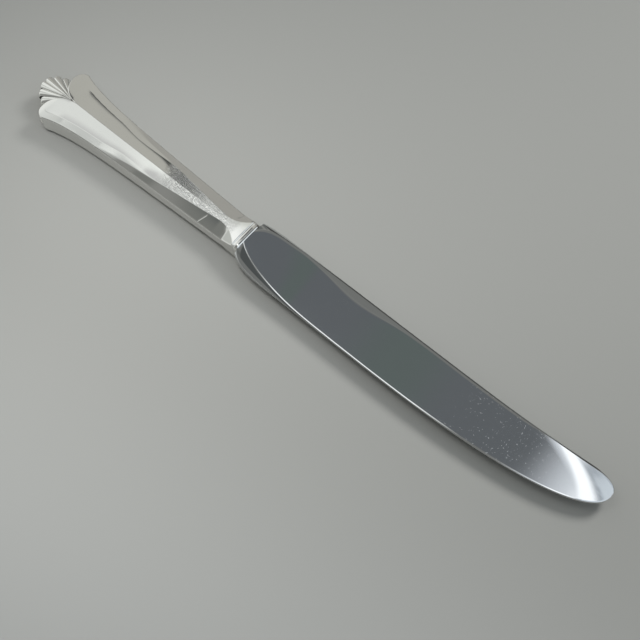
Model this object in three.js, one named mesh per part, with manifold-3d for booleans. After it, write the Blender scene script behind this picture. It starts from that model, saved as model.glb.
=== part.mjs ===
// A dinner knife with a hollow soldered handle, lying on its side. Millimetres, +Z up.
// +X runs from the butt to the tip of the blade and +Y towards the spine.
// The origin is under the middle of the knife, on the surface that it lies on.
// Inside this file "along" is a distance from the butt and "out" a distance from the bolster face.

import * as THREE from 'three';
import { mergeVertices } from 'three/addons/utils/BufferGeometryUtils.js';
import Module from 'manifold-3d';

const wasm = await Module();
wasm.setup();

// Overall sizes
const overallLength = 229;
const handleLength = 94.4;
const buttWidth = 23;
const bodyWidth = 16.2;
const collarWidth = 11.4;
const buttThickness = 9.4;
const collarThickness = 7.9;

// Handle shells
const shellWall = 0.6;
const buttRimHeight = 7.4;
const neckRimHeight = 4.1;
const collarRimHeight = 5.2;
const buttPanelWidth = 22;
const bodyPanelWidth = 17.8;
const neckPanelWidth = 2.8;
const collarPanelWidth = 9.6;
const buttRidgeRise = 0.8;
const neckRidgeRise = 0.15;
const facetHollow = 0.12;
const sideHollow = 0.1;
const shoulderAlong = 10;
const lobeEndAlong = 6.2;
const flareLength = 9;
const outlineSwellLength = 10;
const ridgeSwellLength = 18;
const cornerPower = 2.3;

// Scallop fan on the butt
const fanRibs = 6;
const fanApexAlong = 14.3;
const fanHalfAngle = THREE.MathUtils.degToRad(30);
const fanSideShortening = 2.3;
const ribLength = 12;
const ribWidth = 3.2;
const ribHeight = 5;
const ribSides = 12;
const ribBands = 8;

// Ferrule, solder and cement
const ferruleLength = 1.4;
const spigotLength = 2;
const seamGap = 0.2;
const seamInset = 0.1;
const fitClearance = 0.3;

// Blade
const heelSpineY = 7.2;
const spineY = 9;
const heelEdgeY = -6.6;
const edgeY = -9.2;
const tipY = 7;
const tipSpineY = 10.8;
const spineSwell = 4;
const edgeSwell = 6.5;
const spineRiseOut = 82;
const bellyOut = 50;
const tipRoundLength = 8.5;
const bellyPower = 2.4;
const tipPower = 2.4;
const spineThickness = 2.7;
const spineTaper = 0.003;
const faceSlope = 0.0533;
const edgeThickness = 0.3;
const rootFlankThickness = 4.8;
const rootFlankLength = 10;
const rootCoveLength = 26;
const rootCovePower = 1.6;
const spineFlankMargin = 0.8;

// Tang
const tangLength = 62;
const tangWidth = 5;
const tangThickness = 1.8;

const bladeLength = overallLength - handleLength;
const mouthAlong = handleLength - ferruleLength;
const flareAlong = mouthAlong - flareLength;
const seamHalf = seamGap / 2;
const { lerp, clamp, smoothstep } = THREE.MathUtils;

// A quarter of a superellipse: 1 where the share is 0 and 0 where it is 1.
function roundOff(share, power) {
  return Math.max(0, 1 - share ** power) ** (1 / power);
}

// The sizes of the handle's section at a place along it, shrunk by an inset on every side.
function handleSection(along, inset) {
  const past = Math.max(along - shoulderAlong, 0);
  const share = clamp(past / (mouthAlong - shoulderAlong), 0, 1);
  const panelShare = clamp(past / (flareAlong - shoulderAlong), 0, 1);
  const flare = smoothstep(along, flareAlong, mouthAlong);
  const swell = Math.exp(-past / outlineSwellLength);
  const endShare = clamp((shoulderAlong - along) / (shoulderAlong - lobeEndAlong - inset), 0, 1);
  const end = roundOff(endShare, cornerPower);

  const halfWidth = (lerp(bodyWidth, collarWidth, share) + (buttWidth - bodyWidth) * swell) / 2;
  const panel = lerp(bodyPanelWidth, neckPanelWidth, panelShare) + (buttPanelWidth - bodyPanelWidth) * swell;
  const panelHalf = lerp(panel, collarPanelWidth, flare) / 2;
  const ridge = lerp(collarThickness, buttThickness, Math.exp(-past / ridgeSwellLength)) / 2;
  const rise = lerp(buttRidgeRise, neckRidgeRise, panelShare);
  const rim = lerp(lerp(buttRimHeight, neckRimHeight, share), collarRimHeight, flare) / 2;
  return {
    halfWidth: (halfWidth - inset) * end,
    panelHalf: (panelHalf - inset) * end,
    ridge: (ridge - inset) * end,
    edge: (ridge - rise - inset) * end,
    rim: (rim - inset) * end,
    facetSag: facetHollow * (1 - panelShare),
    sideSag: sideHollow * (1 - flare) * end,
  };
}

// The upper side of a section from the spine side to the edge side: rim, side facet, panel and ridge.
function upperOutline(section) {
  const { halfWidth, panelHalf, ridge, edge, rim, facetSag, sideSag } = section;
  const half = [
    [halfWidth, rim],
    [(halfWidth + panelHalf) / 2, (rim + edge) / 2 - sideSag],
    [panelHalf, edge],
    [panelHalf / 2, (edge + ridge) / 2 - facetSag],
  ];
  const mirrored = half.map(([y, z]) => [-y, z]).reverse();
  return [...half, [0, ridge], ...mirrored];
}

// A closed ring of the upper half of a section, flat on the seam.
function halfRing(section) {
  const { halfWidth } = section;
  return [[halfWidth, seamHalf], ...upperOutline(section), [-halfWidth, seamHalf]];
}

// A closed ring of a whole section.
function fullRing(section) {
  const upper = upperOutline(section);
  const lower = upper.map(([y, z]) => [y, -z]).reverse();
  return [...upper, ...lower];
}

// A closed ring of a rectangle, with as many points as asked on its upper and lower sides.
function rectangleRing(width, thickness, steps) {
  const upper = [];
  for (let i = 0; i <= steps; i += 1) {
    upper.push([lerp(width, -width, i / steps) / 2, thickness / 2]);
  }
  const lower = upper.map(([y, z]) => [y, -z]).reverse();
  return [...upper, ...lower];
}

// A section's ring of [y, z] points, stood at a place along the knife.
function standing(x, ring) {
  return ring.map(([y, z]) => [x, y, z]);
}

// The triangles that close a standing ring, wound as the ring is.
function cap(ring) {
  const flat = ring.map(([, y, z]) => new THREE.Vector2(y, z));
  const faces = THREE.ShapeUtils.triangulateShape(flat, []);
  return THREE.ShapeUtils.isClockWise(flat) ? faces.map(([a, b, c]) => [c, b, a]) : faces;
}

// Skins rings of equally many [x, y, z] points and closes both ends.
function loft(rings) {
  const count = rings[0].length;
  const index = [];
  for (let k = 0; k + 1 < rings.length; k += 1) {
    for (let i = 0; i < count; i += 1) {
      const here = k * count + i;
      const next = k * count + ((i + 1) % count);
      index.push(here, next, next + count, here, next + count, here + count);
    }
  }
  const last = (rings.length - 1) * count;
  for (const [a, b, c] of cap(rings[0])) {
    index.push(c, b, a);
  }
  for (const [a, b, c] of cap(rings.at(-1))) {
    index.push(last + a, last + b, last + c);
  }
  const geometry = new THREE.BufferGeometry();
  geometry.setAttribute('position', new THREE.Float32BufferAttribute(rings.flat(2), 3));
  geometry.setIndex(index);
  return geometry;
}

// Turns a closed geometry into a solid for cutting and joining.
function solid(geometry) {
  const bare = geometry.clone();
  bare.deleteAttribute('normal');
  bare.deleteAttribute('uv');
  const merged = mergeVertices(bare);
  const vertProperties = new Float32Array(merged.attributes.position.array);
  const triVerts = new Uint32Array(merged.index.array);
  return new wasm.Manifold(new wasm.Mesh({ numProp: 3, vertProperties, triVerts }));
}

// Turns a solid back into a geometry.
function geometryOf(manifold) {
  const mesh = manifold.getMesh();
  const geometry = new THREE.BufferGeometry();
  geometry.setAttribute('position', new THREE.BufferAttribute(mesh.vertProperties, mesh.numProp));
  geometry.setIndex(new THREE.BufferAttribute(mesh.triVerts, 1));
  return geometry;
}

// The same geometry turned over about the seam plane, with its faces still pointing out.
function mirroredInSeam(geometry) {
  const mirror = geometry.clone();
  mirror.scale(1, 1, -1);
  const order = mirror.index.array;
  for (let i = 0; i < order.length; i += 3) {
    [order[i], order[i + 1]] = [order[i + 1], order[i]];
  }
  return mirror;
}

// Places along the handle where its section is drawn: close together on the rounded butt and the flare.
function handleStations(inset, endAlong) {
  const buttSteps = 7;
  const bodySteps = 16;
  const flareSteps = 5;
  const firstStep = 0.25;
  const first = lobeEndAlong + inset;
  const places = [];
  for (let i = 0; i < buttSteps; i += 1) {
    const turn = ((i + firstStep) / buttSteps) * (Math.PI / 2);
    places.push(lerp(first, shoulderAlong, 1 - Math.cos(turn)));
  }
  for (let i = 0; i < bodySteps; i += 1) {
    places.push(lerp(shoulderAlong, flareAlong, i / bodySteps));
  }
  for (let i = 0; i < flareSteps; i += 1) {
    places.push(lerp(flareAlong, mouthAlong, i / flareSteps));
  }
  return [...places.filter((along) => along < endAlong), endAlong];
}

// One rib of the fan: an ellipsoid that points away from the apex.
function fanRib(index) {
  const side = (2 * index) / (fanRibs - 1) - 1;
  const angle = side * fanHalfAngle;
  const tipRadius = fanApexAlong - fanSideShortening * side * side;
  const centre = tipRadius - ribLength / 2;
  const rib = new THREE.SphereGeometry(1, ribSides, ribBands);
  rib.scale(ribLength / 2, ribWidth / 2, ribHeight / 2);
  rib.translate(-centre, 0, 0);
  rib.rotateZ(-angle);
  rib.translate(fanApexAlong, 0, 0);
  return solid(rib);
}

// The stamped half of the handle that lies uppermost.
function upperShell() {
  const outside = handleStations(0, mouthAlong).map((x) => standing(x, halfRing(handleSection(x, 0))));
  const inside = handleStations(shellWall, mouthAlong + shellWall).map((x) => {
    return standing(x, fullRing(handleSection(Math.min(x, mouthAlong), shellWall)));
  });
  const below = new THREE.BoxGeometry(2 * overallLength, 2 * buttWidth, buttThickness);
  below.translate(0, 0, seamHalf - buttThickness / 2);
  let shell = solid(loft(outside));
  for (let i = 0; i < fanRibs; i += 1) {
    shell = shell.add(fanRib(i));
  }
  return geometryOf(shell.subtract(solid(loft(inside))).subtract(solid(below)));
}

// The ribbon of solder between the rims of the two shells, from the mouth round the butt and back.
function seamSolder() {
  const outer = handleStations(0, mouthAlong).map((x) => [x, handleSection(x, 0).halfWidth - seamInset]);
  const inner = handleStations(shellWall, mouthAlong).map((x) => [x, handleSection(x, shellWall).halfWidth]);
  const ring = (i, side) => [
    [inner[i][0], side * inner[i][1], seamHalf],
    [outer[i][0], side * outer[i][1], seamHalf],
    [outer[i][0], side * outer[i][1], -seamHalf],
    [inner[i][0], side * inner[i][1], -seamHalf],
  ];
  const spineSide = outer.map((_, i) => ring(i, 1)).reverse();
  const edgeSide = outer.map((_, i) => ring(i, -1));
  return loft([...spineSide, ...edgeSide]);
}

// The pocket that the tang needs in the pieces round it.
function tangPocket() {
  const reach = tangLength + handleLength;
  const pocket = new THREE.BoxGeometry(reach, tangWidth + 2 * fitClearance, tangThickness + 2 * fitClearance);
  return solid(pocket.translate(handleLength - tangLength - fitClearance + reach / 2, 0, 0));
}

// The ring that closes the handle's mouth, with a spigot inside the shells and a slot for the tang.
function ferrule() {
  const flange = fullRing(handleSection(mouthAlong, 0));
  const spigotRing = (x) => fullRing(handleSection(x, shellWall + fitClearance));
  const ring = loft([
    standing(mouthAlong - spigotLength, spigotRing(mouthAlong - spigotLength)),
    standing(mouthAlong, spigotRing(mouthAlong)),
    standing(mouthAlong, flange),
    standing(handleLength, flange),
  ]);
  return geometryOf(solid(ring).subtract(tangPocket()));
}

// The set filling that holds the tang in the hollow handle.
function handleCement() {
  const inset = shellWall + fitClearance;
  const endAlong = mouthAlong - spigotLength - fitClearance;
  const rings = handleStations(inset, endAlong).map((x) => standing(x, fullRing(handleSection(x, inset))));
  return geometryOf(solid(loft(rings)).subtract(tangPocket()));
}

// The blade's back in plan: it swells out of the root, runs straight, rises a little and rounds to the tip.
function bladeSpine(out) {
  const swell = (heelSpineY - spineY) * Math.exp(-out / spineSwell);
  const roundOut = bladeLength - tipRoundLength;
  const rise = clamp((out - spineRiseOut) / (roundOut - spineRiseOut), 0, 1) ** 2;
  const run = spineY + swell + (tipSpineY - spineY) * rise;
  const share = clamp((out - roundOut) / tipRoundLength, 0, 1);
  return tipY + (run - tipY) * roundOff(share, tipPower);
}

// The blade's cutting side in plan: it swells out of the root, runs straight and sweeps up to the tip.
function bladeEdge(out) {
  const swell = (heelEdgeY - edgeY) * Math.exp(-out / edgeSwell);
  const run = edgeY + swell;
  const share = clamp((out - bellyOut) / (bladeLength - bellyOut), 0, 1);
  return tipY + (run - tipY) * roundOff(share, bellyPower);
}

// Half the blade's thickness: a flat ground face that sweeps up to the bolster, cut off by the root's flanks.
function bladeHalfThickness(out, y) {
  const face = spineThickness / 2 - spineTaper * out - faceSlope * (spineY - y);
  const ground = Math.max(face, edgeThickness / 2);
  const sweep = clamp(1 - out / rootCoveLength, 0, 1) ** rootCovePower;
  const swept = lerp(ground, collarThickness / 2, sweep);
  const flankHalf = lerp(collarThickness, rootFlankThickness, clamp(out / rootFlankLength, 0, 1)) / 2;
  const reach = y > 0 ? bladeSpine(out) + spineFlankMargin : bladeEdge(out) - edgeThickness;
  const flank = flankHalf * Math.sqrt(Math.max(0, 1 - (y / reach) ** 2));
  return Math.max(Math.min(swept, flank), edgeThickness / 2);
}

// A closed ring of the blade's section, from the spine over the upper face to the edge and back below.
function bladeRing(out, steps) {
  const spine = bladeSpine(out);
  const edge = bladeEdge(out);
  const upper = [];
  for (let i = 0; i <= steps; i += 1) {
    const y = lerp(spine, edge, (1 - Math.cos((Math.PI * i) / steps)) / 2);
    upper.push([y, bladeHalfThickness(out, y)]);
  }
  const lower = upper.map(([y, z]) => [y, -z]).reverse();
  return [...upper, ...lower];
}

// The forging: tang, bolster face, swept root, ground blade and rounded tip.
function blade() {
  const across = 10;
  const rootSteps = 10;
  const runSteps = 8;
  const tipSteps = 14;
  const lastShare = 0.999;
  const rootCrowding = 1.4;
  const outs = [];
  for (let i = 0; i < rootSteps; i += 1) {
    outs.push(rootCoveLength * (i / rootSteps) ** rootCrowding);
  }
  for (let i = 0; i < runSteps; i += 1) {
    outs.push(lerp(rootCoveLength, spineRiseOut, i / runSteps));
  }
  for (let i = 0; i <= tipSteps; i += 1) {
    outs.push(lerp(spineRiseOut, bladeLength * lastShare, Math.sin(((i / tipSteps) * Math.PI) / 2)));
  }
  const tang = rectangleRing(tangWidth, tangThickness, across);
  const rings = outs.map((out) => standing(handleLength + out / lastShare, bladeRing(out, across)));
  return loft([standing(handleLength - tangLength, tang), standing(handleLength, tang), ...rings]);
}

const silver = { color: 0xdcdcd6, roughness: 0.16, metalness: 1 };
const stainless = { color: 0xaeb2b6, roughness: 0.14, metalness: 1 };
const solder = { color: 0xc4c3bb, roughness: 0.4, metalness: 1 };
const cement = { color: 0x8c8171, roughness: 0.95, metalness: 0 };

// Gives a geometry its name and finish.
function piece(name, geometry, finish) {
  geometry.computeVertexNormals();
  const mesh = new THREE.Mesh(geometry, new THREE.MeshStandardMaterial(finish));
  mesh.name = name;
  return mesh;
}

const upper = upperShell();
const knife = new THREE.Group();
knife.add(
  piece('handle_shell_upper', upper, silver),
  piece('handle_shell_lower', mirroredInSeam(upper), silver),
  piece('seam_solder', seamSolder(), solder),
  piece('ferrule', ferrule(), silver),
  piece('handle_cement', handleCement(), cement),
  piece('blade', blade(), stainless),
);
knife.position.set(-overallLength / 2, 0, buttThickness / 2);

export default knife;
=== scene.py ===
import math

import bmesh
import bpy
import numpy as np
from mathutils import Matrix, Vector


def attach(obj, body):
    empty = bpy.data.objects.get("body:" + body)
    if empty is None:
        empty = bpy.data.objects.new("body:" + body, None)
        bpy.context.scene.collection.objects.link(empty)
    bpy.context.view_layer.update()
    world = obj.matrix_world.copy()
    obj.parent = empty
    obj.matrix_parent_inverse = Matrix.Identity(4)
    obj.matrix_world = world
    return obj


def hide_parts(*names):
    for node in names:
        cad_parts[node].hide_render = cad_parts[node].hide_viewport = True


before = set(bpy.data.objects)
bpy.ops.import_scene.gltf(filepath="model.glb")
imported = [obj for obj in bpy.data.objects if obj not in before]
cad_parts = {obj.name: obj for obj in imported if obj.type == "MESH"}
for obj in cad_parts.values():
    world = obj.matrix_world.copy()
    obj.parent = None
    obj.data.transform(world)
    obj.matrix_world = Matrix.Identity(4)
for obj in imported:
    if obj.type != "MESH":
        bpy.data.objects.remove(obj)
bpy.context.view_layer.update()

# Sizes of the knife in millimetres. "along" runs from the butt and "out" from the bolster face.
OVERALL_LENGTH = 229.0
HANDLE_LENGTH = 94.4
BUTT_THICKNESS = 9.4
FERRULE_LENGTH = 1.4
MOUTH = HANDLE_LENGTH - FERRULE_LENGTH
BLADE_LENGTH = OVERALL_LENGTH - HANDLE_LENGTH

# Handle outline
SHOULDER = 10.0
BUTT_WIDTH = 23.0
BODY_WIDTH = 16.2
COLLAR_WIDTH = 11.4
OUTLINE_SWELL = 10.0
LOBE_ALONG = 15.3
LOBE_Y = 8.0
LOBE_RADIUS = 8.0
LOBE_TIP = LOBE_ALONG - LOBE_RADIUS
CORNER_RADIUS = 3.25

# Handle section: ridge, hollow facets, soft arris, side facets and rim
RIDGE_NECK = 3.95
RIDGE_SWELL = 0.75
RIDGE_SWELL_LENGTH = 18.0
RIDGE_ROUND = 0.1
RIDGE_SLOPE = (0.114, 0.024)
FOLD_SLOPE = (0.028, 0.012)
FOLD_START = (9.8, 17.3)
FOLD_STEP = 0.12
ARRIS_BAND = (2.4, 0.35)
ARRIS_POWER = 3
ARRIS_MOST = 0.7
FLATTENING = (39.0, 61.0)
RIDGE_FLATTENING = (51.0, 62.0)
PANEL = (9.7, 1.4)
PANEL_SWELL = 2.1
SIDE_OPENING = (22.0, 42.0)
RIM = (3.55, 2.2)
RIM_FALL = (16.0, 92.0)
EDGE_SLOPE_LIMIT = (0.12, 0.45)
EDGE_STEEPENING = (20.0, 42.0)
EDGE_ROUND = 0.3
LOBE_PILLOW = 0.12
LOBE_PILLOW_BAND = 2.6
LOBE_FADE = (LOBE_ALONG - 2, LOBE_ALONG + 1)
TURN_SHARE = 0.3
TURN_CLEAR = 1.2

# Collar
FLARE_START = 83.0
FLARE_END = 92.2
FLARE_POWER = 2.4
PANEL_END = FLARE_START + 1
COVE_START = 88.5
COLLAR_PANEL = 5.2
COLLAR_RIM = 3.4
COLLAR_CROWN = 0.03
MOUTH_OPENING = 0.8
GROOVE_ALONG = 92.3
GROOVE_WIDTH = 0.14
GROOVE_DEPTH = 0.08

# Scallop fan of the butt
FAN_RIBS = 6
FAN_APEX = 14.3
FAN_HALF_ANGLE = math.radians(30)
FAN_SIDE_SHORTENING = 2.3
FAN_TIP_ROUND = 0.7
FAN_SINK = (0.05, 0.8)
FAN_END_ROUND = 0.8
RIB_RELIEF = 0.42
FAN_DOME = 0.03
RIB_ROUND = 0.97
FAN_SHARES = (0.04, 0.85, 1.0)

# Ferrule bead
RING_WIDTH = 11.8
RING_THICKNESS = 8.1
RING_POWER = 7.0
RING_BEAD = 0.14
RING_BEAD_POWER = 0.5
RING_OVERLAP = 0.1

# Blade outline
HEEL_SPINE = 7.7
SPINE = 9.0
HEEL_EDGE = -6.7
EDGE = -9.2
TIP_Y = 7.0
TIP_SPINE = 10.8
SPINE_SWELL = 6.0
EDGE_SWELL = 4.5
SPINE_RISE_OUT = 82.0
BELLY_OUT = 50.0
TIP_ROUND_LENGTH = 8.5
BELLY_POWER = 2.4
TIP_POWER = 2.4

# Blade section
SPINE_THICKNESS = 2.7
SPINE_TAPER = 0.003
FACE_SLOPE = 0.0533
ROOT_HEIGHT = 3.9
ROOT_COVE_LENGTH = 26.0
ROOT_COVE_POWER = 1.6
FACE_REACH = 8.9
ARCH_LENGTH = 40.0
ARCH_POWER = 2.4
ARCH_LEAD = 0.8
EDGE_GAP = 0.27
SPINE_REACH = (7.5, 8.75)
SPINE_REACH_RISE = (6.0, 24.0)
SPINE_ARCH_LENGTH = 11.0
SPINE_GAP = 0.6
TIP_GAP_SHARE = 0.1
SPINE_WALL = (1.7, 0.5)
EDGE_WALL = (2.0, 0.0)
WALL_LENGTH = 26.0
WALL_SHARE = (0.85, 0.3)
WALL_SHARE_FALL = (60.0, 110.0)
BEVEL_WIDTH = 0.32
BEVEL_SLOPE = 0.08
ROLL_WIDTH = 1.0
ROLL_SWELL = 3.4
ROLL_OUT = 40.0
ROLL_LENGTH = 13.0
ROLL_SLOPE = 0.16
ROLL_FADE = (98.0, 114.0)
TIP_FINE_OUT = 40.0
TIP_ARC_OUT = 127.0
TIP_ARC_Y = -1.6
TIP_ARC_CURVE = 0.238
TIP_ARC_POWER = 1.9
TIP_BEND = 0.0026
TIP_BEND_LENGTH = 17.0
LAST_SHARE = 0.9995

# Mesh steps: counts of points, and lengths in millimetres
EDGE_STEPS = 9
FACET_STEPS = 64
SIDE_STEPS = 26
WALL_STEPS = 9
LOBE_STEPS = 64
BODY_STEP = 0.4
FLARE_STEP = 0.15
END_STEPS = 30
LOBE_WALL_STEPS = 8
RIB_STEPS = 25
FAN_STEPS = (36, 20)
FAN_WALL_STEPS = 4
RING_TURN_STEPS = 128
RING_STEPS = 33
FACE_RIM_SHARE = 0.1
FACE_STEPS = (16, 70, 36)
FLANK_STEPS = 16
FLANK_WALL_STEPS = 4
ROOT_STEPS = 110
ROOT_CROWDING = 1.5
BLADE_STEP = 1.0
TIP_STEPS = 110
LEAN_STEP = 0.05

# Camera, fitted to the photograph
FRAME_PIXELS = 640.0
FOCAL_PIXELS = 962.12
SENSOR = 36.0
VIEW_ELEVATION = math.radians(66.8799)
VIEW_ROLL = math.radians(-0.1022)
VIEW_AZIMUTH = math.radians(-40.4842)
VIEW_DISTANCE = 305.493
VIEW_CENTRE_ALONG = 110.0
VIEW_OFFSET_RIGHT = -10.9549
VIEW_OFFSET_UP = 15.6091
CLIP_START = 0.01

# Metals: colours, roughness, and heights in metres. A noise has its scale and its detail.
SILVER = (0.93, 0.925, 0.90, 1)
SILVER_ROUGHNESS = 0.055
SILVER_WAVE = 0.000008
STAINLESS = (0.63, 0.64, 0.645, 1)
STAINLESS_ROUGHNESS = 0.05
STAINLESS_WAVE = 0.000004
WAVE_NOISE = (60.0, 1.0)
CLOUD_NOISE = (140.0, 3.0)
CLOUD_RANGE = (0.3, 0.7)
ROUGHNESS_SPREAD = (0.85, 1.2)
DULLED_SHARE = 0.95

# Fine scratches: bands of a stretched noise, kept in patches
SCRATCH_ANGLES = (0.35, 1.1, -0.6, 2.2)
SCRATCH_NOISE = (1.0, 1.0)
SCRATCH_SCALE = (60.0, 2600.0, 800.0)
SCRATCH_LEVEL = 0.5
SCRATCH_WIDTH = 0.012
SCRATCH_PATCH_TURN = 0.7
SCRATCH_PATCH_SCALE = (60.0, 60.0, 60.0)
SCRATCH_PATCHES = (0.56, 0.70)
SCRATCH_DULLING = 0.05
SCRATCH_DEPTH = 0.0000004

# Worn grain of the neck and specks near the tip, each on a stretch of the knife
NECK_WEAR = {
    "zone": (-0.055, -0.028, 0.004), "scale": 4200.0, "least": 0.47, "most": 0.57,
    "dulling": 0.0, "depth": 0.000022, "stain": 0.62,
}
BLADE_SPECKS = {
    "zone": (0.064, 0.094, 0.008), "scale": 2100.0, "least": 0.71, "most": 0.76,
    "dulling": 0.15, "depth": 0.000006, "stain": 0.85,
}

# Wear stays on surfaces that face up or down
LEVEL_NORMAL = (0.955, 0.985)

# Wear on the handle's near side facet, in metres
NICK_PLACE = (-0.0363, -0.00425, 0)
NICK_TURN = math.radians(66)
NICK_LENGTH = 0.0038
NICK_WIDTH = 0.0003
NICK_DEPTH = 0.00004
NICK_SOFTNESS = (0.3, 0.9)

# Solder and cement. The cement's grain has a roughness too.
SOLDER_COLOURS = ((0.70, 0.69, 0.65, 1), (0.58, 0.57, 0.53, 1))
SOLDER_GRAIN = (1800.0, 3.0)
SOLDER_GRAIN_RANGE = (0.3, 0.7)
SOLDER_ROUGHNESS = (0.3, 0.5)
CEMENT_COLOURS = ((0.34, 0.29, 0.23, 1), (0.50, 0.45, 0.38, 1))
CEMENT_GRAIN = (900.0, 6.0, 0.7)
CEMENT_GRAIN_RANGE = (0.2, 0.8)
CEMENT_ROUGHNESS = (0.8, 0.98)
CEMENT_BUMP = 0.0003

# Floor, its colour a little paler on the near side as painted light and darker on the far side as painted
# shade: a painted pool of light by the handle
FLOOR_PAINTED_LIGHT_NEAR = (0.382, 0.382, 0.366, 1)
FLOOR_PAINTED_SHADE_FAR = (0.288, 0.288, 0.272, 1)
FLOOR_PAINTED_LIGHT_RAMP = (-0.13, -0.025)
FLOOR_PAINTED_LIGHT_TURN = 0.25
FLOOR_ROUGHNESS = 0.9
FLOOR_SPECULAR = 0.1
FLOOR_HALF = 2.0

# Lamps: place, target, size, spread in degrees and power in watts
KEY_LAMP = ((0.12, 0.38, 0.38), (0.08, 0, 0), 0.18, 100, 0.62)
FILL_LAMP = ((-0.07, -0.04, 0.26), (-0.07, -0.035, 0), 0.10, 80, 0.088)

# Studio panels and flags: ends along the knife, ends across it, softness and colour.
# A later one covers those before it.
STUDIO_BASE = (0.245, 0.25, 0.24, 1)
STUDIO_PANELS = (
    ((-2.0, 2.0), (0.36, 2.0), 0.010, (0.43, 0.43, 0.40, 1)),
    ((-2.0, 2.0), (0.58, 2.0), 0.06, (0.345, 0.343, 0.322, 1)),
    ((-0.30, 2.0), (0.34, 0.60), 0.06, (0.245, 0.25, 0.24, 1)),
    ((-0.29, 2.0), (0.64, 2.0), 0.045, (0.11, 0.11, 0.104, 1)),
    ((-2.0, 2.0), (0.875, 2.0), 0.012, (0.10, 0.10, 0.095, 1)),
    ((-0.59, -0.49), (0.62, 0.775), 0.012, (0.20, 0.21, 0.20, 1)),
    ((-0.54, -0.455), (0.825, 0.875), 0.010, (0.20, 0.21, 0.20, 1)),
    ((-2.0, -0.08), (-0.02, 0.30), 0.02, (0.55, 0.56, 0.56, 1)),
    ((-2.0, -0.08), (-0.02, 0.19), 0.035, (0.73, 0.755, 0.74, 1)),
    ((-2.0, -0.45), (-0.08, 0.050), 0.04, (0.54, 0.56, 0.55, 1)),
    ((-0.475, -0.08), (-0.02, 0.262), 0.02, (0.88, 0.91, 0.89, 1)),
    ((-0.43, -0.357), (-0.02, 0.38), 0.015, (0.96, 0.985, 0.975, 1)),
    ((-0.43, -0.357), (0.335, 0.40), 0.025, (0.62, 0.64, 0.61, 1)),
    ((-2.0, -0.55), (-0.95, 0.05), 0.02, (0.60, 0.62, 0.60, 1)),
    ((-2.0, -0.62), (-0.60, 0.28), 0.05, (0.80, 0.82, 0.80, 1)),
    ((-2.0, -0.64), (-0.42, -0.26), 0.03, (0.49, 0.51, 0.49, 1)),
    ((-0.60, -0.415), (0.297, 0.352), 0.006, (0.04, 0.042, 0.04, 1)),
    ((-0.345, -0.10), (0.0, 0.135), 0.02, (1.45, 1.48, 1.48, 1)),
    ((-0.352, 0.05), (0.155, 0.335), 0.02, (0.165, 0.178, 0.19, 1)),
    ((-0.20, -0.12), (0.155, 0.335), 0.03, (0.155, 0.185, 0.178, 1)),
    ((-0.50, -0.32), (-0.43, -0.28), 0.03, (0.185, 0.192, 0.182, 1)),
    ((-0.335, -0.125), (-0.43, -0.05), 0.02, (0.11, 0.118, 0.117, 1)),
    ((0.026, 0.16), (-0.30, 0.62), 0.032, (0.95, 1.0, 1.06, 1)),
    ((0.062, 0.17), (-0.30, 0.62), 0.012, (1.65, 1.70, 1.75, 1)),
    ((0.119, 2.0), (-0.30, 0.62), 0.016, (0.46, 0.51, 0.56, 1)),
    ((0.143, 2.0), (-0.30, 0.60), 0.008, (0.87, 0.95, 1.02, 1)),
)

MM = 0.001
WELD = 1e-7


def round_off(share, power):
    """A quarter of a superellipse: 1 where the share is 0 and 0 where it is 1."""
    return np.maximum(0, 1 - np.clip(share, 0, 1) ** power) ** (1 / power)


def mix(a, b, share):
    return a + (b - a) * share


def smooth(x, start, end):
    share = np.clip((x - start) / (end - start), 0, 1)
    return share * share * (3 - 2 * share)


def quarter_drop(distance, radius):
    """How far a rounded edge has fallen at a distance in from its rim."""
    inside = radius - np.clip(distance, 0, radius)
    return radius - np.sqrt(np.maximum(0, radius * radius - inside * inside))


def quarter_steps(count):
    """Shares from 0 to 1 that crowd towards 1."""
    return np.sin(np.linspace(0, math.pi / 2, count))


def lift(steps):
    """Factors that carry a point from the mid-plane up to its own height."""
    return np.linspace([1, 1, 0], [1, 1, 1], steps)


def in_frame(points):
    """Knife millimetres to metres in the part's frame."""
    moved = np.asarray(points, float) + np.array([-OVERALL_LENGTH / 2, 0, BUTT_THICKNESS / 2])
    return moved * MM


class Skin:
    """Collects grids of points as one mesh."""

    def __init__(self):
        self.points = []
        self.faces = []

    def grid(self, rows, closed=False, flip=False):
        rows = np.asarray(rows)
        count, width = rows.shape[:2]
        start = sum(len(p) for p in self.points)
        self.points.append(rows.reshape(-1, 3))
        last = width if closed else width - 1
        for k in range(count - 1):
            for i in range(last):
                a = start + k * width + i
                b = start + k * width + (i + 1) % width
                quad = (a, b, b + width, a + width)
                self.faces.append(quad[::-1] if flip else quad)

    def cap(self, ring, flip=False):
        start = sum(len(p) for p in self.points)
        self.points.append(np.asarray(ring))
        order = tuple(range(start, start + len(ring)))
        self.faces.append(order[::-1] if flip else order)

    def build(self, name, material, flip_z=False):
        points = np.vstack(self.points)
        faces = self.faces
        if flip_z:
            points = points * np.array([1, 1, -1])
            faces = [f[::-1] for f in faces]
        mesh = bpy.data.meshes.new(name)
        mesh.from_pydata([tuple(p) for p in in_frame(points)], [], faces)
        welded = bmesh.new()
        welded.from_mesh(mesh)
        bmesh.ops.remove_doubles(welded, verts=welded.verts, dist=WELD)
        for face in welded.faces:
            face.smooth = True
        welded.to_mesh(mesh)
        welded.free()
        piece = bpy.data.objects.new(name, mesh)
        bpy.context.collection.objects.link(piece)
        mesh.materials.append(material)
        return piece


# Handle

def half_width(along):
    past = max(along - SHOULDER, 0)
    share = min(past / (MOUTH - SHOULDER), 1)
    swell = (BUTT_WIDTH - BODY_WIDTH) * math.exp(-past / OUTLINE_SWELL)
    return (mix(BODY_WIDTH, COLLAR_WIDTH, share) + swell) / 2


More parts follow.
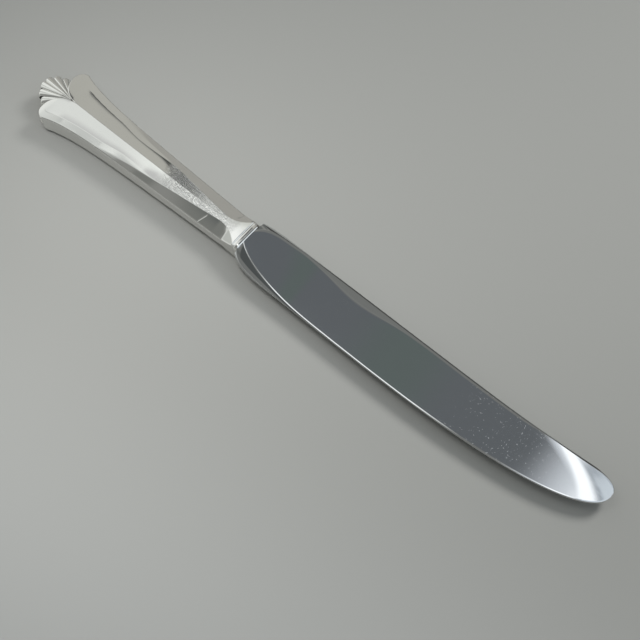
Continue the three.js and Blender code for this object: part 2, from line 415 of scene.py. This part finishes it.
def outline_y(along):
    """The handle's outer edge, with the rounded corner of a lobe at the butt."""
    corner = LOBE_TIP + CORNER_RADIUS
    if along >= corner:
        return half_width(along)
    share = (corner - along) / CORNER_RADIUS
    return LOBE_Y + (half_width(corner) - LOBE_Y) * float(round_off(share, 2))


def lobe_y(along):
    """A lobe's inner edge: an arc that runs out of the ridge."""
    ahead = max(LOBE_ALONG - along, 0)
    return LOBE_Y - math.sqrt(max(LOBE_RADIUS ** 2 - ahead ** 2, 0))


def lobe_depths(along, y):
    """How far points lie inside a lobe's inner arc and inside the handle's outline."""
    ahead = max(LOBE_ALONG - along, 0)
    inner = LOBE_RADIUS - np.hypot(ahead, np.maximum(LOBE_Y - y, 0))
    corner = LOBE_TIP + CORNER_RADIUS
    outer = outline_y(along) - y
    if along < corner:
        round_corner = CORNER_RADIUS - np.hypot(corner - along, y - LOBE_Y)
        outer = np.where(y > LOBE_Y, round_corner, CORNER_RADIUS)
    return inner, outer


def section_sizes(along):
    """The heights, slopes and widths that a section of the handle is drawn from."""
    past = max(along - SHOULDER, 0)
    panel_share = min(past / (PANEL_END - SHOULDER), 1)
    flat = float(smooth(along, *FLATTENING))
    ridge_flat = float(smooth(along, *RIDGE_FLATTENING))
    opened = float(smooth(along, *FOLD_START))
    flare = min(max((along - FLARE_START) / (FLARE_END - FLARE_START), 0), 1) ** FLARE_POWER
    cove = float(smooth(along, COVE_START, FLARE_END))
    crown = float(smooth(along, FLARE_START, FLARE_END))
    panel = mix(*PANEL, panel_share) + PANEL_SWELL * math.exp(-past / OUTLINE_SWELL)
    ridge = RIDGE_NECK + RIDGE_SWELL * math.exp(-past / RIDGE_SWELL_LENGTH)
    rim = mix(*RIM, float(smooth(along, *RIM_FALL)))
    panel = mix(half_width(along), panel, float(smooth(along, *SIDE_OPENING)))
    fold_slope = mix(mix(RIDGE_SLOPE[0], FOLD_SLOPE[0], opened), FOLD_SLOPE[1], flat)
    return {
        "panel": mix(panel, COLLAR_PANEL, flare),
        "ridge": ridge,
        "rim": mix(rim, COLLAR_RIM, cove),
        "ridge_slope": mix(*RIDGE_SLOPE, ridge_flat) * (1 - crown),
        "fold_slope": mix(fold_slope, COLLAR_CROWN, crown),
        "fold_step": FOLD_STEP * opened * (1 - flat),
        "band": mix(*ARRIS_BAND, flat),
        "limit": mix(*EDGE_SLOPE_LIMIT, float(smooth(along, *EDGE_STEEPENING))),
    }


def handle_top(along, y, sizes):
    """Height of the handle's upper side: hollow facet, soft arris, then the side facet."""
    width = outline_y(along)
    panel = min(sizes["panel"], width - EDGE_ROUND)
    band = min(sizes["band"], ARRIS_MOST * panel)
    fold = panel - band
    start = sizes["ridge_slope"]
    least = sizes["fold_slope"]
    fold_drop = start * fold - (start - least) * fold / 2
    share = band / (ARRIS_POWER + 1)
    stepped = least + sizes["fold_step"]
    spare = sizes["ridge"] - fold_drop - stepped * (band - share) - sizes["rim"]
    side = min(max(spare / (width - panel + share), stepped), sizes["limit"])
    soft = np.sqrt(y * y + RIDGE_ROUND ** 2) - RIDGE_ROUND
    facet = start * soft - (start - least) * soft * soft / (2 * fold)
    q = np.clip((y - fold) / band, 0, 1)
    arris = fold_drop + stepped * (y - fold) + (side - stepped) * share * q ** (ARRIS_POWER + 1)
    drop = np.where(y < fold, facet, arris) + np.where(y > panel, (side - stepped) * (y - panel), 0)
    return sizes["ridge"] - drop


def groove(along):
    return GROOVE_DEPTH * math.exp(-((along - GROOVE_ALONG) / GROOVE_WIDTH) ** 2)


def half_row(along):
    """One half of a section, from the ridge or a lobe's inner edge over to the seam."""
    sizes = section_sizes(along)
    inner_y = lobe_y(along)
    outer_y = outline_y(along)
    turn = min(EDGE_ROUND, TURN_SHARE * (outer_y - inner_y))
    clear = turn * TURN_CLEAR
    break_y = max(min(sizes["panel"], outer_y - clear), inner_y + clear)
    y = np.concatenate([
        inner_y + turn * (1 - quarter_steps(EDGE_STEPS)[::-1]),
        np.linspace(inner_y + turn, break_y, FACET_STEPS)[1:],
        np.linspace(break_y, outer_y - turn, SIDE_STEPS)[1:],
        outer_y - turn + turn * quarter_steps(EDGE_STEPS)[1:],
    ])
    z = handle_top(along, y, sizes)
    inner, outer = lobe_depths(along, y)
    lobe = 1 - float(smooth(along, *LOBE_FADE))
    pillow = np.clip(1 - inner / LOBE_PILLOW_BAND, 0, 1) ** 2
    z = z - lobe * (LOBE_PILLOW * pillow + quarter_drop(inner, EDGE_ROUND))
    z = z - quarter_drop(outer, EDGE_ROUND)
    inset = groove(along)
    y = y * (1 - inset / outer_y)
    z = np.maximum(z - inset, 0)
    wall = np.linspace(1, 0, WALL_STEPS)[1:]
    y = np.concatenate([y, np.full(len(wall), y[-1])])
    z = np.concatenate([z, z[-1] * wall])
    return np.stack([np.full(len(y), along), y, z], 1)


def handle_places():
    """Where the handle's sections lie, closest together at the lobes' tips and at the collar."""
    lobes = mix(LOBE_TIP, LOBE_ALONG, 1 - np.cos(np.linspace(0, math.pi / 2, LOBE_STEPS)))
    body = np.arange(LOBE_ALONG + BODY_STEP, FLARE_START, BODY_STEP)
    flare = np.arange(body[-1] + BODY_STEP / 2, FLARE_END - BODY_STEP, FLARE_STEP)
    end = np.linspace(flare[-1] + FLARE_STEP / 3, MOUTH, END_STEPS)
    return np.concatenate([lobes, body, flare, end])


def handle_body(skin):
    rows = [half_row(along) for along in handle_places()]
    rows.append(rows[-1] * np.array([1, MOUTH_OPENING, MOUTH_OPENING]))
    mirror = np.array([1, -1, 1])
    skin.grid(rows)
    skin.grid([row * mirror for row in rows], flip=True)
    walls = [row[0] * lift(LOBE_WALL_STEPS) for row in rows if row[0, 0] < LOBE_ALONG]
    skin.grid(walls)
    skin.grid([row * mirror for row in walls], flip=True)


def fan_height(along, y):
    """Height of the ridge's facets carried on over the fan."""
    return float(handle_top(along, np.array([abs(y)]), section_sizes(along))[0])


def fan(skin):
    """Ribs that spread from the ridge's foot to the scalloped end of the butt."""
    step = 2 * FAN_HALF_ANGLE / (FAN_RIBS - 1)
    across = np.sin(np.linspace(-1, 1, RIB_STEPS) * math.pi / 2)
    hump = 1 - np.sqrt(np.maximum(0, 1 - RIB_ROUND * across ** 2))
    first, fine, last = FAN_SHARES
    run = np.linspace(first, fine, FAN_STEPS[0])
    end = mix(fine, last, quarter_steps(FAN_STEPS[1]))
    shares = np.concatenate([run, end[1:]])
    for k in range(FAN_RIBS):
        side = 2 * k / (FAN_RIBS - 1) - 1
        tip = FAN_APEX - FAN_SIDE_SHORTENING * side * side
        angle = side * FAN_HALF_ANGLE + across * step / 2
        rows = []
        for share in shares:
            radius = share * (tip - FAN_TIP_ROUND * hump)
            along = FAN_APEX - radius * np.cos(angle)
            y = radius * np.sin(angle)
            top = np.array([fan_height(a, b) for a, b in zip(along, y)])
            fall = RIB_RELIEF * share * tip * math.sin(step / 2) * hump
            sink = mix(*FAN_SINK, share ** 2) + quarter_drop((1 - share) * tip, FAN_END_ROUND)
            rows.append(np.stack([along, y, top - fall - sink - FAN_DOME * y * y], 1))
        rows.append(rows[-1] * np.array([1, 1, 0]))
        skin.grid(rows)
        edge = 0 if side < 0 else -1
        if abs(side) == 1:
            skin.grid([row[edge] * lift(FAN_WALL_STEPS) for row in rows], flip=side > 0)


def handle_shell(name, material, below=False):
    skin = Skin()
    handle_body(skin)
    fan(skin)
    return skin.build(name, material, flip_z=below)


# Ferrule

def ring_section(half_y, half_z):
    """A squared oval round the knife's axis."""
    turn = np.linspace(0, 2 * math.pi, RING_TURN_STEPS, endpoint=False)
    c = np.cos(turn)
    s = np.sin(turn)
    size = (np.abs(c) ** RING_POWER + np.abs(s) ** RING_POWER) ** (-1 / RING_POWER)
    return half_y * c * size, half_z * s * size


def ferrule(name, material):
    skin = Skin()
    rows = []
    for share in np.linspace(0, 1, RING_STEPS):
        bead = math.sin(math.pi * share) ** RING_BEAD_POWER
        inset = RING_BEAD * (1 - bead)
        y, z = ring_section(RING_WIDTH / 2 - inset, RING_THICKNESS / 2 - inset)
        along = mix(MOUTH - RING_OVERLAP, HANDLE_LENGTH, share)
        rows.append(np.stack([np.full(len(y), along), y, z], 1))
    skin.grid(rows, closed=True, flip=True)
    skin.cap(rows[0])
    skin.cap(rows[-1], flip=True)
    return skin.build(name, material)


# Blade

def blade_spine(out):
    swell = (HEEL_SPINE - SPINE) * math.exp(-out / SPINE_SWELL)
    round_out = BLADE_LENGTH - TIP_ROUND_LENGTH
    rise = min(max((out - SPINE_RISE_OUT) / (round_out - SPINE_RISE_OUT), 0), 1) ** 2
    run = SPINE + swell + (TIP_SPINE - SPINE) * rise
    return TIP_Y + (run - TIP_Y) * float(round_off((out - round_out) / TIP_ROUND_LENGTH, TIP_POWER))


def blade_edge(out):
    run = EDGE + (HEEL_EDGE - EDGE) * math.exp(-out / EDGE_SWELL)
    share = (out - BELLY_OUT) / (BLADE_LENGTH - BELLY_OUT)
    return TIP_Y + (run - TIP_Y) * float(round_off(share, BELLY_POWER))


def arch(out, reach, length):
    """The half width of a face that opens out of the root as an arch."""
    left = max(1 - (out + ARCH_LEAD) / length, 0)
    return reach * math.sqrt(1 - left ** ARCH_POWER)


def face_limits(out):
    """The face's border towards the spine and towards the edge."""
    spine = blade_spine(out)
    edge = blade_edge(out)
    most_gap = TIP_GAP_SHARE * (spine - edge)
    upper = spine - min(SPINE_GAP, most_gap)
    lower = edge + min(EDGE_GAP, most_gap)
    if out < ARCH_LENGTH:
        reach = mix(*SPINE_REACH, float(smooth(out, *SPINE_REACH_RISE)))
        upper = min(upper, arch(out, reach, SPINE_ARCH_LENGTH))
        lower = max(lower, -arch(out, FACE_REACH, ARCH_LENGTH))
    return upper, lower


def tip_bend(out, y):
    """How far the face falls away towards the tip, beyond a curved line across it."""
    line = TIP_ARC_OUT - TIP_ARC_CURVE * np.abs(y - TIP_ARC_Y) ** TIP_ARC_POWER
    past = np.maximum(out - line, 0)
    bent = np.minimum(past, TIP_BEND_LENGTH)
    return TIP_BEND * (bent * past - bent * bent / 2)


def blade_face(out, y):
    """Height of the flat ground face, with its root cove, edge bevel, rolled spine and domed tip."""
    ground = SPINE_THICKNESS / 2 - SPINE_TAPER * out - FACE_SLOPE * (SPINE - y)
    sweep = max(1 - out / ROOT_COVE_LENGTH, 0) ** ROOT_COVE_POWER
    z = mix(ground, ROOT_HEIGHT, sweep)
    upper, lower = face_limits(out)
    lean = (face_limits(out + LEAN_STEP)[1] - lower) / LEAN_STEP
    off_edge = (y - lower) / math.hypot(1, lean)
    z = z - BEVEL_SLOPE * np.maximum(BEVEL_WIDTH - off_edge, 0)
    roll = ROLL_WIDTH + ROLL_SWELL * math.exp(-((out - ROLL_OUT) / ROLL_LENGTH) ** 2)
    roll_slope = ROLL_SLOPE * (1 - float(smooth(out, *ROLL_FADE)))
    z = z - roll_slope / (2 * roll) * np.maximum(y - (upper - roll), 0) ** 2
    return z - tip_bend(out, y)


def flank(out, start, start_z, end, heights):
    """A rounded flank from a face's border down to an upright wall, and the wall down to the mid-plane."""
    wall = mix(*reversed(heights), max(1 - out / WALL_LENGTH, 0) ** 2)
    share = mix(*WALL_SHARE, float(smooth(out, *WALL_SHARE_FALL)))
    wall = min(wall, share * start_z)
    left = np.linspace(1, 0, FLANK_STEPS)[1:]
    upright = np.linspace(1, 0, FLANK_WALL_STEPS)[1:]
    y = np.concatenate([mix(start, end, 1 - left ** 2), np.full(len(upright), end)])
    return y, np.concatenate([mix(wall, start_z, left), wall * upright])


def face_shares():
    """Shares across the face from the spine's side, closer together at its borders."""
    spine_rim, middle, edge_rim = FACE_STEPS
    return np.concatenate([
        np.linspace(0, FACE_RIM_SHARE, spine_rim),
        np.linspace(FACE_RIM_SHARE, 1 - FACE_RIM_SHARE, middle)[1:],
        np.linspace(1 - FACE_RIM_SHARE, 1, edge_rim)[1:],
    ])


def blade_row(out):
    """One closed section of the blade, both of its sides."""
    upper, lower = face_limits(out)
    y = mix(upper, lower, face_shares())
    z = blade_face(out, y)
    spine_y, spine_z = flank(out, upper, z[0], blade_spine(out), SPINE_WALL)
    edge_y, edge_z = flank(out, lower, z[-1], blade_edge(out), EDGE_WALL)
    y = np.concatenate([spine_y[::-1], y, edge_y])
    z = np.concatenate([spine_z[::-1], z, edge_z])
    along = np.full(len(y), HANDLE_LENGTH + out / LAST_SHARE)
    half = np.stack([along, y, z], 1)
    below = half[-2:0:-1] * np.array([1, 1, -1])
    return np.vstack([half, below])


def blade(name, material):
    root = ARCH_LENGTH * np.linspace(0, 1, ROOT_STEPS)[:-1] ** ROOT_CROWDING
    fine_out = BLADE_LENGTH - TIP_FINE_OUT
    run = np.arange(ARCH_LENGTH, fine_out, BLADE_STEP)
    tip = mix(fine_out, BLADE_LENGTH * LAST_SHARE, quarter_steps(TIP_STEPS))
    rows = [blade_row(out) for out in np.concatenate([root, run, tip])]
    skin = Skin()
    skin.grid(rows, closed=True)
    skin.cap(rows[0], flip=True)
    skin.cap(rows[-1])
    return skin.build(name, material)


# Materials

class Nodes:
    """Short ways to add and join shader nodes."""

    def __init__(self, tree):
        self.tree = tree

    def add(self, kind, **values):
        node = self.tree.nodes.new(kind)
        for key, value in values.items():
            setattr(node, key, value)
        return node

    def put(self, socket, value):
        if isinstance(value, bpy.types.NodeSocket):
            self.tree.links.new(value, socket)
        else:
            socket.default_value = value

    def math(self, operation, a, b=0.0):
        node = self.add("ShaderNodeMath", operation=operation)
        self.put(node.inputs[0], a)
        self.put(node.inputs[1], b)
        return node.outputs[0]

    def ramp(self, value, low, high, to_low=0.0, to_high=1.0):
        node = self.add("ShaderNodeMapRange", interpolation_type="SMOOTHSTEP")
        for socket, item in zip(node.inputs, (value, low, high, to_low, to_high)):
            self.put(socket, item)
        return node.outputs[0]

    def blend(self, share, a, b):
        node = self.add("ShaderNodeMix", data_type="RGBA")
        self.put(node.inputs["Factor"], share)
        self.put(node.inputs[6], a)
        self.put(node.inputs[7], b)
        return node.outputs[2]

    def noise(self, vector, scale, detail=2.0, roughness=0.5):
        node = self.add("ShaderNodeTexNoise")
        self.put(node.inputs["Vector"], vector)
        node.inputs["Scale"].default_value = scale
        node.inputs["Detail"].default_value = detail
        node.inputs["Roughness"].default_value = roughness
        return node.outputs["Fac"]

    def turned(self, vector, angle, scale):
        node = self.add("ShaderNodeMapping")
        self.put(node.inputs["Vector"], vector)
        node.inputs["Rotation"].default_value = (0, 0, angle)
        node.inputs["Scale"].default_value = scale
        return node.outputs["Vector"]


def new_material(name):
    material = bpy.data.materials.new(name)
    material.use_nodes = True
    tree = material.node_tree
    shader = tree.nodes["Principled BSDF"]
    return material, Nodes(tree), shader


def between(nodes, value, low, high, soft):
    """1 between two values, with soft ends."""
    rising = nodes.ramp(value, low - soft, low + soft)
    falling = nodes.ramp(value, high - soft, high + soft, 1.0, 0.0)
    return nodes.math("MULTIPLY", rising, falling)


def scratches(nodes, place, angles):
    """Fine straight scratches in a few directions, 1 on a scratch."""
    total = None
    for angle in angles:
        stretched = nodes.turned(place, angle, SCRATCH_SCALE)
        value = nodes.noise(stretched, *SCRATCH_NOISE)
        off_line = nodes.math("ABSOLUTE", nodes.math("SUBTRACT", value, SCRATCH_LEVEL))
        line = nodes.ramp(off_line, 0.0, SCRATCH_WIDTH, 1.0, 0.0)
        turned = nodes.turned(place, angle + SCRATCH_PATCH_TURN, SCRATCH_PATCH_SCALE)
        patch = nodes.ramp(nodes.noise(turned, *SCRATCH_NOISE), *SCRATCH_PATCHES)
        line = nodes.math("MULTIPLY", line, patch)
        total = line if total is None else nodes.math("MAXIMUM", total, line)
    return total


def worn_zone(nodes, place, low, high, soft):
    """1 on the level surfaces of a stretch of the knife, between two places along it."""
    split = nodes.add("ShaderNodeSeparateXYZ")
    nodes.put(split.inputs[0], place)
    facing = nodes.add("ShaderNodeSeparateXYZ")
    nodes.put(facing.inputs[0], nodes.add("ShaderNodeTexCoord").outputs["Normal"])
    level = nodes.ramp(nodes.math("ABSOLUTE", facing.outputs[2]), *LEVEL_NORMAL)
    return nodes.math("MULTIPLY", between(nodes, split.outputs[0], low, high, soft), level)


def nick(nodes, place):
    """1 on one short straight scratch."""
    node = nodes.add("ShaderNodeMapping", vector_type="TEXTURE")
    nodes.put(node.inputs["Vector"], place)
    node.inputs["Location"].default_value = NICK_PLACE
    node.inputs["Rotation"].default_value = (0, 0, NICK_TURN)
    node.inputs["Scale"].default_value = (NICK_LENGTH / 2, NICK_WIDTH / 2, 1)
    split = nodes.add("ShaderNodeSeparateXYZ")
    nodes.put(split.inputs[0], node.outputs["Vector"])
    along = between(nodes, split.outputs[0], -1, 1, NICK_SOFTNESS[0])
    across = between(nodes, split.outputs[1], -1, 1, NICK_SOFTNESS[1])
    return nodes.math("MULTIPLY", along, across)


def darker(colour, share):
    return tuple(c * share for c in colour[:3]) + (1.0,)


def polished_metal(name, colour, roughness, wave_height, specks):
    """Polished metal with scratches, slight waves, and specks of wear on one stretch of the knife."""
    material, nodes, shader = new_material(name)
    place = nodes.add("ShaderNodeTexCoord").outputs["Object"]
    lines = scratches(nodes, place, SCRATCH_ANGLES)
    zone = worn_zone(nodes, place, *specks["zone"])
    grain = nodes.ramp(nodes.noise(place, specks["scale"], 1.0), specks["least"], specks["most"])
    worn = nodes.math("MULTIPLY", grain, zone)
    cloud = nodes.noise(place, *CLOUD_NOISE)
    base = nodes.ramp(cloud, *CLOUD_RANGE, *(roughness * share for share in ROUGHNESS_SPREAD))
    rough = nodes.math("ADD", base, nodes.math("MULTIPLY", lines, SCRATCH_DULLING))
    rough = nodes.math("ADD", rough, nodes.math("MULTIPLY", worn, specks["dulling"]))
    nodes.put(shader.inputs["Roughness"], rough)
    dulled = darker(colour, DULLED_SHARE)
    clean = nodes.blend(cloud, colour, dulled)
    stain = darker(colour, specks["stain"])
    nodes.put(shader.inputs["Base Color"], nodes.blend(worn, clean, stain))
    shader.inputs["Metallic"].default_value = 1.0
    wave = nodes.math("MULTIPLY", nodes.noise(place, *WAVE_NOISE), wave_height)
    cuts = nodes.math("MULTIPLY", lines, SCRATCH_DEPTH)
    pits = nodes.math("MULTIPLY", worn, specks["depth"])
    cuts = nodes.math("ADD", cuts, nodes.math("MULTIPLY", nick(nodes, place), NICK_DEPTH))
    bump = nodes.add("ShaderNodeBump")
    bump.inputs["Distance"].default_value = 1.0
    bump.inputs["Strength"].default_value = 1.0
    nodes.put(bump.inputs["Height"], nodes.math("SUBTRACT", wave, nodes.math("ADD", cuts, pits)))
    nodes.put(shader.inputs["Normal"], bump.outputs["Normal"])
    return material


def solder_material():
    material, nodes, shader = new_material("solder")
    place = nodes.add("ShaderNodeTexCoord").outputs["Object"]
    grain = nodes.noise(place, *SOLDER_GRAIN)
    nodes.put(shader.inputs["Roughness"], nodes.ramp(grain, *SOLDER_GRAIN_RANGE, *SOLDER_ROUGHNESS))
    nodes.put(shader.inputs["Base Color"], nodes.blend(grain, *SOLDER_COLOURS))
    shader.inputs["Metallic"].default_value = 1.0
    return material


def cement_material():
    material, nodes, shader = new_material("cement")
    place = nodes.add("ShaderNodeTexCoord").outputs["Object"]
    grain = nodes.noise(place, *CEMENT_GRAIN)
    nodes.put(shader.inputs["Base Color"], nodes.blend(grain, *CEMENT_COLOURS))
    nodes.put(shader.inputs["Roughness"], nodes.ramp(grain, *CEMENT_GRAIN_RANGE, *CEMENT_ROUGHNESS))
    bump = nodes.add("ShaderNodeBump")
    bump.inputs["Distance"].default_value = CEMENT_BUMP
    nodes.put(bump.inputs["Height"], grain)
    nodes.put(shader.inputs["Normal"], bump.outputs["Normal"])
    return material


# Studio: panels and flags overhead, drawn on the plan of the upper half of the surroundings

def studio_world():
    world = bpy.data.worlds.new("studio")
    world.use_nodes = True
    bpy.context.scene.world = world
    nodes = Nodes(world.node_tree)
    background = world.node_tree.nodes["Background"]
    direction = nodes.add("ShaderNodeTexCoord").outputs["Generated"]
    split = nodes.add("ShaderNodeSeparateXYZ")
    nodes.put(split.inputs[0], direction)
    x = split.outputs[0]
    y = split.outputs[1]
    colour = STUDIO_BASE
    for ends, sides, soft, tint in STUDIO_PANELS:
        share = nodes.math("MULTIPLY", between(nodes, x, *ends, soft), between(nodes, y, *sides, soft))
        colour = nodes.blend(share, colour, tint)
    nodes.put(background.inputs["Color"], colour)
    background.inputs["Strength"].default_value = 1.0


def area_lamp(name, place, target, size, spread, power):
    light = bpy.data.lights.new(name, "AREA")
    light.shape = "DISK"
    light.size = size
    light.spread = math.radians(spread)
    light.energy = power
    lamp = bpy.data.objects.new(name, light)
    lamp.location = place
    lamp.rotation_mode = "QUATERNION"
    lamp.rotation_quaternion = (Vector(target) - Vector(place)).to_track_quat("-Z", "Y")
    lamp.visible_glossy = False
    bpy.context.collection.objects.link(lamp)


def lamps():
    """A key over the far side of the blade and a fill above the handle."""
    area_lamp("key", *KEY_LAMP)
    area_lamp("fill", *FILL_LAMP)


def floor_with_painted_light():
    material, nodes, shader = new_material("floor_with_painted_light")
    split = nodes.add("ShaderNodeSeparateXYZ")
    nodes.put(split.inputs[0], nodes.add("ShaderNodeTexCoord").outputs["Object"])
    # Painted light: the base colour ramps from a paler near side to a darker far side, a painted pool of
    # light beside the handle
    turned = nodes.math("MULTIPLY", split.outputs[0], FLOOR_PAINTED_LIGHT_TURN)
    across = nodes.math("SUBTRACT", split.outputs[1], turned)
    colour = nodes.blend(nodes.ramp(across, *FLOOR_PAINTED_LIGHT_RAMP), FLOOR_PAINTED_LIGHT_NEAR, FLOOR_PAINTED_SHADE_FAR)
    nodes.put(shader.inputs["Base Color"], colour)
    shader.inputs["Roughness"].default_value = FLOOR_ROUGHNESS
    shader.inputs["Specular IOR Level"].default_value = FLOOR_SPECULAR
    mesh = bpy.data.meshes.new("floor_with_painted_light")
    corners = ((-1, -1), (1, -1), (1, 1), (-1, 1))
    mesh.from_pydata([(x * FLOOR_HALF, y * FLOOR_HALF, 0) for x, y in corners], [], [(0, 1, 2, 3)])
    mesh.materials.append(material)
    plane = bpy.data.objects.new("floor_with_painted_light", mesh)
    bpy.context.collection.objects.link(plane)


def camera():
    ca, sa = math.cos(VIEW_AZIMUTH), math.sin(VIEW_AZIMUTH)
    ce, se = math.cos(VIEW_ELEVATION), math.sin(VIEW_ELEVATION)
    level = np.array([ca, -sa, 0])
    rising = np.array([sa * se, ca * se, ce])
    ahead = np.array([sa * ce, ca * ce, -se])
    right = math.cos(VIEW_ROLL) * level + math.sin(VIEW_ROLL) * rising
    up = -math.sin(VIEW_ROLL) * level + math.cos(VIEW_ROLL) * rising
    target = np.array([VIEW_CENTRE_ALONG, 0, 0])
    place = target - VIEW_OFFSET_RIGHT * level - VIEW_OFFSET_UP * rising - VIEW_DISTANCE * ahead
    data = bpy.data.cameras.new("camera")
    data.sensor_width = SENSOR
    data.lens = FOCAL_PIXELS / FRAME_PIXELS * SENSOR
    data.clip_start = CLIP_START
    view = bpy.data.objects.new("camera", data)
    rows = np.eye(4)
    rows[:3, 0] = right
    rows[:3, 1] = up
    rows[:3, 2] = -ahead
    rows[:3, 3] = in_frame(place)
    view.matrix_world = Matrix(rows.tolist())
    bpy.context.collection.objects.link(view)
    bpy.context.scene.camera = view


silver = polished_metal("silver", SILVER, SILVER_ROUGHNESS, SILVER_WAVE, NECK_WEAR)
stainless = polished_metal("stainless", STAINLESS, STAINLESS_ROUGHNESS, STAINLESS_WAVE, BLADE_SPECKS)

pieces = (
    (handle_shell("shell_upper", silver), "handle_shell_upper", "silver"),
    (handle_shell("shell_lower", silver, below=True), "handle_shell_lower", "silver"),
    (ferrule("ferrule_ring", silver), "ferrule", "silver"),
    (blade("blade_forging", stainless), "blade", "stainless"),
)
for piece, node, slot in pieces:
    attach(piece, "root")
    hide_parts(node)

for node, material in (("seam_solder", solder_material()), ("handle_cement", cement_material())):
    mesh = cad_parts[node].data
    mesh.materials.clear()
    mesh.materials.append(material)

studio_world()
lamps()
floor_with_painted_light()
camera()
bpy.context.scene.view_settings.view_transform = "Standard"
